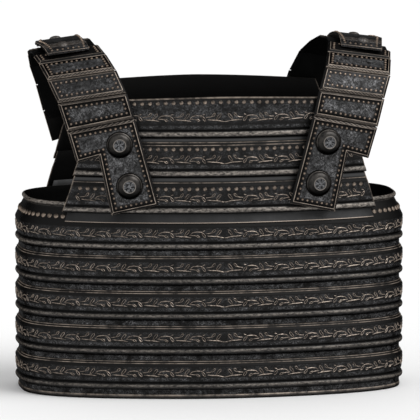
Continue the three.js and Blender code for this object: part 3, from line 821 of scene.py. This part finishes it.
print("one repeat:", len(LEAVES), "leaves,", len(STEMS), "stems,", round(REPEAT / MM, 1), "mm")

# %% [markdown]
# ## Where the scroll and the beads go
# The beads are rivet heads in a row, set out with dividers from the middle of the chest, so their
# places are distances along the tape too. Each is a squashed sphere turned to the way the face
# looks. Their upper sides are painted black as painted shade, so that only their lower halves
# show bronze, which makes a row of small crescents. The collar's beads are larger, lean with its
# slant, and stop where the panels cover them.
# %% Scroll and beads on every lame
BEAD_PITCH = 8.45
BEAD_RADIUS = 2.25
BEAD_HEIGHT = 1.1
# How black the painted shade on the upper side of a bead gets.
BEAD_TOP_SHADE = 0.85


def add_beads(bm, runs, z, inset, side=1.0, lean=0.0, size=1.0, dip=None):
    """Beads at distances along the tape, at one height or dipping with the neckline."""
    layer = finish_layer(bm)
    for run in runs:
        place = plan_at(run, inset * MM)
        out = plan_normal(run) + Vector((0.0, 0.0, lean))
        place.y *= side
        out.y *= side
        place.z = z * MM - (neckline_sag(place.x, z, *dip) if dip else 0.0)
        radius = BEAD_RADIUS * size * MM
        for vert in add_dome(bm, place, out.normalized(), radius, BEAD_HEIGHT * size * MM, 12, 6):
            # Painted shade: a bead goes black towards its top, so only its lower half shows bronze.
            top_shade = min(1.0, max(0.0, (vert.co.z - place.z) / (0.5 * radius) - 0.1))
            vert[layer] = (0.0, 0.0, -BEAD_TOP_SHADE * top_shade, 0.0)


GIRTH_SCROLL_FOOT = 13.6
COLLAR_SCROLL_FOOT = 12.6
for number in range(2, 6):
    bottom, _ = level(f"girth_lame_{number}")
    add_scroll(f"girth_lame_{number}", bottom, bottom + SHOULDER_UP, GIRTH_SCROLL_FOOT)
add_scroll("girth_lame_1", level("girth_lame_1")[0], COLLAR_SHOULDER, COLLAR_SCROLL_FOOT)

PANEL_REPEATS = 6
PANEL_DRESS = {
    1: {"foot": 16.9, "bead_z": 320.5, "half": 0.135},
    2: {"foot": 14.1, "bead_z": 269.9, "half": 0.151},
    3: {"foot": 12.4, "bead_z": 227.0, "half": 0.1625},
}
for face, side in WAY.items():
    for number, dress in PANEL_DRESS.items():
        name = f"{face}_lame_{number}"
        bottom, top = level(name)
        shoulder = panel_shoulder(name, number)
        end = run_at_x(dress["half"])
        add_scroll(name, bottom, shoulder, dress["foot"], PANEL_REPEATS, end / MM - 1.0, side)
        count = int(end / (BEAD_PITCH * MM))
        runs = [(k + 0.5) * BEAD_PITCH * MM for k in range(-count, count)]
        inset = face_inset(dress["bead_z"], bottom, shoulder)
        dip = (bottom, top) if number == 1 else None
        beads = bmesh.new()
        add_beads(beads, runs, dress["bead_z"], inset, side, dip=dip)
        finish_piece(f"{name}_beads", beads, BEAD_BRONZE)

COLLAR_BEAD_UP = 9.8
COLLAR_BEAD_PITCH = 8.6
COLLAR_BEAD_LEAN = 0.45
COLLAR_BEAD_SIZE = 1.3
COLLAR_BEAD_MARGIN = 3.0
collar_inset = COLLAR_SLANT_INSET * COLLAR_BEAD_UP / (COLLAR_SLANT_TOP - COLLAR_SHOULDER)
first = run_at_x(PANELS[3]["low_half"]) + COLLAR_BEAD_MARGIN * MM
bare_run = 0.5 * GIRTH - 2.0 * first
count = round(bare_run / (COLLAR_BEAD_PITCH * MM))
collar_beads = bmesh.new()
for half in (0.0, 0.5 * GIRTH):
    runs = [half + first + bare_run * k / count for k in range(count + 1)]
    add_beads(collar_beads, runs, COLLAR_SHOULDER + COLLAR_BEAD_UP, collar_inset,
              lean=COLLAR_BEAD_LEAN, size=COLLAR_BEAD_SIZE)
finish_piece("girth_lame_1_beads", collar_beads, BEAD_BRONZE)
print("scroll and beads made, beads on each side of the collar:", count + 1)

# %% [markdown]
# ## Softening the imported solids
# The strap plates, caps, bands and strips already have their right shape in the frame, so a
# merged copy is the honest start. Flat triangles are dissolved back into whole faces, every
# sharp edge gets a small bevel, and the faces of each bevel carry the rubbed line.
# %% Softened copies
def corner_layer(bm):
    """The same attribute held on face corners, so that a thin bevel can differ from its faces."""
    return bm.loops.layers.float_color.get("finish") or bm.loops.layers.float_color.new("finish")


def paint(bm, faces, wear):
    layer = corner_layer(bm)
    for face in faces:
        for corner in face.loops:
            corner[layer] = wear


def merged_copy(node):
    """A node's mesh with its loose triangles joined and its flat ones made whole faces."""
    bm = bmesh.new()
    bm.from_mesh(nodes[node].data)
    bmesh.ops.remove_doubles(bm, verts=bm.verts, dist=0.01 * MM)
    bmesh.ops.dissolve_limit(bm, angle_limit=math.radians(1.0), verts=bm.verts, edges=bm.edges)
    return bm


def soften(bm, width, rub, sharp=25.0):
    """Bevels the sharp edges and paints each bevel with the edge wear."""
    edges = [edge for edge in bm.edges if len(edge.link_faces) == 2
             and edge.calc_face_angle() > math.radians(sharp)]
    made = bmesh.ops.bevel(bm, geom=edges, offset=width * MM, offset_type="OFFSET", segments=1,
                           profile=0.5, affect="EDGES", material=-1, clamp_overlap=True)
    paint(bm, bm.faces, BARE)
    paint(bm, made["faces"], (rub, 0.0, 0.0, 0.0))
    return set(made["faces"])


STRIP_EDGE = 0.8
SIDES = {"left": 1.0, "right": -1.0}
for face in WAY:
    name = f"{face}_joining_strip"
    bm = merged_copy(name)
    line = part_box(name)[0][2] + STRIP_EDGE * MM
    bmesh.ops.bisect_plane(bm, geom=everything(bm), plane_co=(0, 0, line), plane_no=(0, 0, 1))
    soften(bm, 0.2, 0.0, 30.0)
    paint(bm, [part for part in bm.faces if part.calc_center_median().z < line], EDGE)
    finish_piece(f"{name}_steel", bm, PLAIN_STEEL, [name])
for side in SIDES:
    name = f"{side}_shoulder_band"
    bm = merged_copy(name)
    soften(bm, 0.3, 0.0)
    finish_piece(f"{name}_steel", bm, BAND_STEEL, [name])
print("strips and bands made")

# %% [markdown]
# ## The field of a strap plate and its studs
# A strap plate has a raised field inside a bevelled border. The field is the largest face on the
# outer side, and a row of small studs follows its outline, as a smith would set them out with
# dividers: one on every corner, and the rest evenly between. The end plate's field is pierced
# by its two bolts, so its holes are closed first: the domed heads of the bosses hide them.
# %% Outlines and studs
STUD_RADIUS = 1.35
STUD_HEIGHT = 1.1
STUD_PITCH = 5.5
STUD_INSET = 3.9
HOLE_REACH = 6.0


def wearer_at(sign):
    """A point inside the body under one strap, which every strap plate looks away from."""
    return Vector((0.5 * sign * HALF_WIDTH, 0.0, 0.25))


def outer_field(bm, inward):
    """The largest face that looks away from the wearer."""
    faces = [face for face in bm.faces if face.normal.dot(face.calc_center_median() - inward) > 0]
    return max(faces, key=lambda face: face.calc_area())


def inset_corners(corners, normal, distance):
    """The corners of a flat outline moved inwards by a distance."""
    moved = []
    count = len(corners)
    for i, corner in enumerate(corners):
        before = (corner - corners[i - 1]).normalized()
        after = (corners[(i + 1) % count] - corner).normalized()
        first = normal.cross(before)
        second = normal.cross(after)
        moved.append(corner + (first + second) * distance / (1.0 + first.dot(second)))
    return moved


def places_along(corners, pitch):
    """Evenly spaced places on each side of an outline, with one on every corner."""
    places = []
    for i, corner in enumerate(corners):
        following = corners[(i + 1) % len(corners)]
        count = max(1, round((following - corner).length / pitch))
        places += [corner.lerp(following, k / count) for k in range(count)]
    return places


def close_bolt_holes(bm, centres, axis):
    """Takes the bolt holes out of an end plate and closes its front and back again."""
    near = [vert for vert in bm.verts if any(
        (vert.co - centre - axis * (vert.co - centre).dot(axis)).length < HOLE_REACH * MM
        for centre in centres)]
    bmesh.ops.delete(bm, geom=near, context="VERTS")
    open_edges = [edge for edge in bm.edges if edge.is_boundary]
    bmesh.ops.edgeloop_fill(bm, edges=open_edges)
    bmesh.ops.recalc_face_normals(bm, faces=bm.faces)


def box_centre(node):
    low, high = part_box(node)
    return (Vector(low) + Vector(high)) * 0.5


def lay_hatch(bm, face, along, across):
    """Lays the flat map of the hatch on a border face: millimetres along it, a share across."""
    layer = bm.loops.layers.uv.get("hatch") or bm.loops.layers.uv.new("hatch")
    heights = [corner.vert.co.dot(across) for corner in face.loops]
    low, high = min(heights), max(heights)
    for corner in face.loops:
        share = (corner.vert.co.dot(across) - low) / (high - low)
        corner[layer].uv = (corner.vert.co.dot(along) / MM, share)


print("outline helpers ready")

# %% [markdown]
# ## Dressing a strap plate
# Each bevel and border is painted by the way that it looks: the slanted borders above and below
# the field carry the hatch, and the edge that tucks under the next plate stays dull. The field is
# inset once, which leaves a margin that the studs stand on round a scratched middle. Not all
# plates are painted alike: the third, which faces up, is painted pale out to its margin, partly
# as rub and partly as painted light; the fifth is left plain black, a painted shade under the
# cap, and needs no studs along its foot, because the plate below covers it.
# %% Strap plates
MIDDLE_INSET = 5.6
FIELD_GROWTH = 0.9
BORDER_DEPTH = 0.6
HATCH = (0.0, 1.0, 0.0, 0.0)
MARGIN = (0.0, 0.0, -0.9, 0.0)
MARGIN_INNER = (0.0, 0.0, 0.35, 0.0)
# The third plate's margin and middle: partly rub, partly painted light where it faces up.
WORN_AND_PAINTED_LIGHT_MARGIN = (0.0, 0.0, 0.2, 0.0)
WORN_AND_PAINTED_LIGHT_MIDDLE = (0.0, 0.0, 0.6, 0.0)
TUCKED_EDGE = (0.45, 0.0, 0.0, 0.0)


def plate_ways(field, normal, sign):
    """The ways along a plate: up towards the crest, and out from the neck."""
    middle = field.calc_center_median()
    toward_crest = Vector((0.0, -middle.y, 0.4 - middle.z))
    up = (toward_crest - normal * toward_crest.dot(normal)).normalized()
    outer = normal.cross(up)
    return up, outer if outer.x * sign > 0 else -outer


def looks(face, normal, up, outer):
    """Which way a border or bevel face looks, seen flat on."""
    flat = face.normal - normal * face.normal.dot(normal)
    ways = {"up": flat.dot(up), "down": -flat.dot(up), "out": flat.dot(outer), "in": -flat.dot(outer)}
    return max(ways, key=ways.get)


def paint_borders(bm, bevel, field, level_point, ways, bolted, foot_hidden):
    """Wear on the bevels, by how far they lie below the field, and hatch on the borders."""
    normal, up, outer = ways
    for face in bevel:
        way = looks(face, *ways)
        if (level_point - face.calc_center_median()).dot(normal) < BORDER_DEPTH * MM:
            dull = way == "up" or (foot_hidden and way == "down")
            paint(bm, [face], TUCKED_EDGE if dull else EDGE)
        else:
            paint(bm, [face], RIM_EDGE if way in ("out", "down") else BARE)
    for face in [face for face in bm.faces if face not in bevel and face is not field]:
        way = looks(face, *ways)
        if 0.2 < face.normal.dot(normal) < 0.96 and way in ("down", "up"):
            lay_hatch(bm, face, outer, up)
            paint(bm, [face], BARE if way == "down" and (bolted or foot_hidden) else HATCH)


def paint_field(bm, field, margin, middle, inner):
    """Insets the field, and fades from the margin's wear to the inner wear towards its middle."""
    bmesh.ops.inset_individual(bm, faces=[field], thickness=MIDDLE_INSET * MM, use_even_offset=True)
    layer = corner_layer(bm)
    middle_corners = set(field.verts)
    for part in [part for edge in field.edges for part in edge.link_faces if part is not field]:
        for corner in part.loops:
            corner[layer] = inner if corner.vert in middle_corners else margin
    paint(bm, [field], middle)


def set_studs(studs, outline, ways, foot_hidden):
    """Studs along an outline; a hidden foot keeps only those beside its ends."""
    normal, up, outer = ways
    places = places_along(inset_corners(outline, normal, STUD_INSET * MM), STUD_PITCH * MM)
    foot = min(place.dot(up) for place in places) + 0.5 * STUD_PITCH * MM
    ends = [min(place.dot(outer) for place in places), max(place.dot(outer) for place in places)]
    for place in places:
        beside_end = min(abs(place.dot(outer) - end) for end in ends) < 0.8 * STUD_PITCH * MM
        if not foot_hidden or beside_end or place.dot(up) > foot:
            add_dome(studs, place, normal, STUD_RADIUS * MM, STUD_HEIGHT * MM)


def strap_piece(name, sign, studs, bolts=(), margin=MARGIN, middle=NECK, inner=MARGIN_INNER,
                foot_hidden=False):
    """One plate, made from its softened solid, and its studs added to the strap's set."""
    bm = merged_copy(name)
    if bolts:
        close_bolt_holes(bm, bolts, outer_field(bm, wearer_at(sign)).normal.copy())
    field = outer_field(bm, wearer_at(sign))
    normal = field.normal.copy()
    corners = [corner.vert.co.copy() for corner in field.loops]
    outline = inset_corners(corners, normal, -FIELD_GROWTH * MM)
    for corner, place in zip(field.loops, outline):
        corner.vert.co = place
    ways = (normal, *plate_ways(field, normal, sign))
    bevel = soften(bm, 0.34, 1.0)
    field = outer_field(bm, wearer_at(sign))
    paint_borders(bm, bevel, field, outline[0], ways, bool(bolts), foot_hidden)
    paint_field(bm, field, margin, middle, inner)
    finish_piece(f"{name}_steel", bm, STRAP_STEEL, [name], 30.0)
    set_studs(studs, outline, ways, foot_hidden)


# The third plate is painted paler, partly rub and partly painted light where it faces up; the fifth is
# left plain black, a painted shade under the cap.
PLATE_WEAR_AND_PAINTED_LIGHT = {
    2: {},
    3: {"margin": WORN_AND_PAINTED_LIGHT_MARGIN, "middle": WORN_AND_PAINTED_LIGHT_MIDDLE},
    4: {},
    5: {"margin": BARE, "middle": BARE, "inner": BARE, "foot_hidden": True},
}
for side, sign in SIDES.items():
    for strap in ("front", "back"):
        start = f"{side}_{strap}"
        studs = bmesh.new()
        bolts = [box_centre(f"{start}_{place}_boss") for place in ("upper", "lower")]
        strap_piece(f"{start}_strap_end_plate", sign, studs, bolts)
        for number, wear in PLATE_WEAR_AND_PAINTED_LIGHT.items():
            strap_piece(f"{start}_strap_plate_{number}", sign, studs, **wear)
        finish_piece(f"{start}_strap_studs", studs, RUBBED_BRONZE)
print("strap plates made")

# %% [markdown]
# ## Shoulder caps
# A cap is one bent plate, so its studs are set by dropping a plumb line on it: a ray from above
# gives both the place and the lean. Its two domed studs come with the solid, and are found by
# their crowns, where most edges meet, so that the bevels round them can be painted dull and the
# domes a lighter grey, a painted sheen.
# %% Shoulder caps
CAP_STUD_INSET = 5.0
CAP_STUD_REACH = 8.5
# On the cap's domed studs: a dull bevel, and a lighter grey that is a painted sheen.
DULL_EDGE_AND_SHEEN = (0.16, 0.0, 0.7, 0.0)
CAP_FACE = (0.0, 0.0, 0.3, 0.0)


def crown_of_stud(bm, way, sign):
    """The crown of the domed stud at one end of a cap."""
    half = [vert for vert in bm.verts if vert.co.y * way > 0.0 and vert.co.x * sign > 0.0]
    return max(half, key=lambda vert: len(vert.link_edges)).co.copy()


def cap_outline(bm, name, sign):
    """The line that the small studs follow, seen from above: it widens towards the crest."""
    inset = CAP_STUD_INSET * MM
    low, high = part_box(name)
    reach = [abs(vert.co.x) for vert in bm.verts if abs(vert.co.y) > high[1] - 0.1 * MM]
    inner, tip = min(reach) + inset, max(reach) - inset
    crest = max(abs(low[0]), abs(high[0])) - inset
    end = high[1] - inset
    outline = [(inner, -end), (tip, -end), (crest, 0.0), (tip, end), (inner, end)]
    return [Vector((x * sign, y, 1.0)) for x, y in outline]


for side, sign in SIDES.items():
    name = f"{side}_shoulder_cap"
    bm = merged_copy(name)
    tree = BVHTree.FromBMesh(bm)
    corners = cap_outline(bm, name, sign)
    crowns = [crown_of_stud(bm, way, sign) for way in (-1.0, 1.0)]
    bevel = soften(bm, 0.36, 1.0, 35.0)
    for face in bm.faces:
        middle = face.calc_center_median()
        if any((middle - crown).length < CAP_STUD_REACH * MM for crown in crowns):
            # A dull bevel, and a lighter grey as a painted sheen, on each domed stud.
            paint(bm, [face], DULL_EDGE_AND_SHEEN)
        elif face not in bevel:
            paint(bm, [face], CAP_FACE)
    finish_piece(f"{name}_steel", bm, STRAP_STEEL, [name])
    studs = bmesh.new()
    places = places_along(corners, STUD_PITCH * MM)
    for place in places:
        hit, normal, _, _ = tree.ray_cast(place, Vector((0.0, 0.0, -1.0)))
        add_dome(studs, hit, normal, STUD_RADIUS * MM, STUD_HEIGHT * MM)
    finish_piece(f"{name}_studs", studs, RUBBED_BRONZE)
print("caps made, small studs on each:", len(places))

# %% [markdown]
# ## Bolt heads
# The bolt heads are turned work: a dark flange, a domed skirt, a thin bright ring and a struck
# disc, which is what `spin` makes best. The petals are pressed a little into the disc by moving
# its points. Light and shade are painted on too: the flange's outer foot is painted black, as the
# shadow round the head, the skirt is painted darker towards its underside, as painted shade, and
# the rubbed line round the flange fades downwards, a painted highlight on its upper side.
# %% Bolt heads
# Painted shadow: the outer foot of the flange is black, as the shadow round the head.
SHADOW_HALO = (0.0, 0.0, 1.0, 0.0)
FLANGE_RING = (0.45, 0.0, 0.0, 0.0)
DISC_RING = (0.9, 0.5, 0.0, 0.0)
DISC_FOOT = (0.0, 1.0, 0.4, 0.0)
BOSS_SECTION = [
    (14.5, 0.0, SHADOW_HALO), (14.4, 0.25, SHADOW_HALO), (13.8, 0.35, SHADOW_HALO), (13.6, 0.9, SHADOW_HALO), (13.4, 1.4, BARE),
    (13.1, 1.7, FLANGE_RING), (12.8, 1.9, BARE), (12.3, 3.2, BARE), (11.3, 4.5, BARE),
    (9.9, 5.5, BARE), (8.4, 6.1, BARE), (7.2, 6.3, BARE), (6.7, 6.6, DISC_RING),
    (6.2, 6.6, DISC_RING), (5.9, 6.2, DISC_FOOT), (5.6, 6.0, ROLL), (4.8, 6.0, ROLL),
    (3.8, 6.1, ROLL), (2.6, 6.1, ROLL), (1.5, 6.2, ROLL), (0.0, 6.2, ROLL)]
BOSS_STEPS = 60
BOSS_CROWN = 6.6
SKIRT_RADIUS = 13.8
SKIRT_INNER = 7.2
PETALS = 5
PETAL_DEPTH = 0.35
PETAL_ENDS = (2.0, 5.5)


def turned_head():
    """The section spun round a full turn, and closed at its back."""
    bm = bmesh.new()
    layer = finish_layer(bm)
    chain = []
    for radius, up, wear in BOSS_SECTION:
        vert = bm.verts.new((radius * MM, 0.0, up * MM))
        vert[layer] = wear
        chain.append(vert)
    edges = [bm.edges.new(pair) for pair in zip(chain, chain[1:])]
    bmesh.ops.spin(bm, geom=chain + edges, cent=(0, 0, 0), axis=(0, 0, 1),
                   angle=2.0 * math.pi, steps=BOSS_STEPS, use_merge=True)
    bmesh.ops.remove_doubles(bm, verts=bm.verts, dist=0.02 * MM)
    for vert in bm.verts:
        radius = math.hypot(vert.co.x, vert.co.y) / MM
        petal = math.cos(PETALS * math.atan2(vert.co.y, vert.co.x))
        if PETAL_ENDS[0] < radius < PETAL_ENDS[1] and petal > 0.1:
            vert[layer] = (0.0, 1.0, petal, 0.0)
            vert.co.z -= PETAL_DEPTH * MM * petal
    bmesh.ops.edgeloop_fill(bm, edges=[edge for edge in bm.edges if edge.is_boundary])
    return bm


def boss_piece(name, normal):
    """Sets a turned head on the crown of the node it stands for, paints shade on its skirt's underside
    and keeps its flange line bright on top, a painted highlight.
    """
    reach = [vert.co.copy() for vert in nodes[name].data.vertices]
    crown = max(point.dot(normal) for point in reach)
    rim = [point for point in reach if point.dot(normal) > crown - 0.1 * MM]
    centre = sum(rim, Vector()) / len(rim)
    seat = centre - normal * BOSS_CROWN * MM
    bm = turned_head()
    layer = finish_layer(bm)
    turn_out = normal.to_track_quat("Z", "Y").to_matrix().to_4x4()
    bmesh.ops.transform(bm, matrix=Matrix.Translation(seat) @ turn_out, verts=bm.verts)
    # Painted light and shade: below the middle the skirt turns dark, and the flange's rubbed line fades
    # downwards, a painted highlight on its top.
    for vert in bm.verts:
        if (vert.co - centre).length > SKIRT_INNER * MM:
            low = (centre.z - vert.co.z) / (SKIRT_RADIUS * MM)
            rub, disc, dark, _ = vert[layer]
            rub *= max(0.0, min(1.0, 0.6 - 1.6 * low))
            vert[layer] = (rub, disc, max(dark, 0.5 + 0.9 * low), 0.0)
    finish_piece(f"{name}_steel", bm, BOSS_STEEL, [name])


for side, sign in SIDES.items():
    for strap in ("front", "back"):
        plate = merged_copy(f"{side}_{strap}_strap_end_plate")
        out = outer_field(plate, wearer_at(sign)).normal.copy()
        plate.free()
        for place in ("upper", "lower"):
            boss_piece(f"{side}_{strap}_{place}_boss", out)
print("bolt heads made, steps each:", BOSS_STEPS)

# %% [markdown]
# ## Floor, light and camera
# A wide pale floor, a white room and a soft, high light from the wearer's left show dark metal
# best: a small lamp would only make hot spots on the rolls. The camera stands a little to the
# wearer's right and slightly above, far away with a long lens, so that near and far edges keep
# the same scale. Colours are shown as they are, by the Standard view: a filmic one would turn
# a nearly black piece grey.
# %% Floor, light and camera
FLOOR_SIZE = 40.0
FLOOR_GAP = 0.2
floor_bm = bmesh.new()
bmesh.ops.create_grid(floor_bm, x_segments=1, y_segments=1, size=FLOOR_SIZE)
floor_mesh = bpy.data.meshes.new("floor")
floor_bm.to_mesh(floor_mesh)
floor_bm.free()
floor = bpy.data.objects.new("floor", floor_mesh)
floor.location.z = cad_bounds[0][2] - FLOOR_GAP * MM
bpy.context.scene.collection.objects.link(floor)
floor_paint = Finish("pale_floor")
floor_mesh.materials.append(floor_paint.shade(Base_Color=(0.86, 0.86, 0.86, 1.0), Roughness=0.9))

ROOM_STRENGTH = 0.76
world = bpy.data.worlds.new("studio")
world.use_nodes = True
background = world.node_tree.nodes["Background"]
background.inputs["Color"].default_value = (1.0, 1.0, 1.0, 1.0)
background.inputs["Strength"].default_value = ROOM_STRENGTH
bpy.context.scene.world = world
bpy.context.scene.view_settings.view_transform = "Standard"

SUN_AZIMUTH = math.radians(55.0)
SUN_ELEVATION = math.radians(52.0)
SUN_SOFTNESS = math.radians(45.0)
SUN_ENERGY = 1.75
sun_data = bpy.data.lights.new("window", "SUN")
sun_data.energy = SUN_ENERGY
sun_data.angle = SUN_SOFTNESS
sun = bpy.data.objects.new("window", sun_data)
toward_sun = Vector((math.sin(SUN_AZIMUTH) * math.cos(SUN_ELEVATION),
                     -math.cos(SUN_AZIMUTH) * math.cos(SUN_ELEVATION), math.sin(SUN_ELEVATION)))
sun.rotation_euler = toward_sun.to_track_quat("Z", "Y").to_euler()
bpy.context.scene.collection.objects.link(sun)

CAMERA_AZIMUTH = math.radians(-8.0)
CAMERA_ELEVATION = math.radians(6.65)
CAMERA_DISTANCE = 10.0
VIEW_WIDTH = 0.4553
AIM = Vector((0.0012, 0.0, 0.1902))
camera_data = bpy.data.cameras.new("camera")
camera_data.sensor_width = 36.0
camera_data.lens = camera_data.sensor_width * CAMERA_DISTANCE / VIEW_WIDTH
camera_data.clip_end = 100.0
camera = bpy.data.objects.new("camera", camera_data)
level_part = math.cos(CAMERA_ELEVATION)
away = Vector((math.sin(CAMERA_AZIMUTH) * level_part, -math.cos(CAMERA_AZIMUTH) * level_part,
               math.sin(CAMERA_ELEVATION)))
camera.location = AIM + away * CAMERA_DISTANCE
camera.rotation_euler = (-away).to_track_quat("-Z", "Y").to_euler()
bpy.context.scene.collection.objects.link(camera)
bpy.context.scene.camera = camera
print("camera lens:", round(camera_data.lens, 1), "mm")
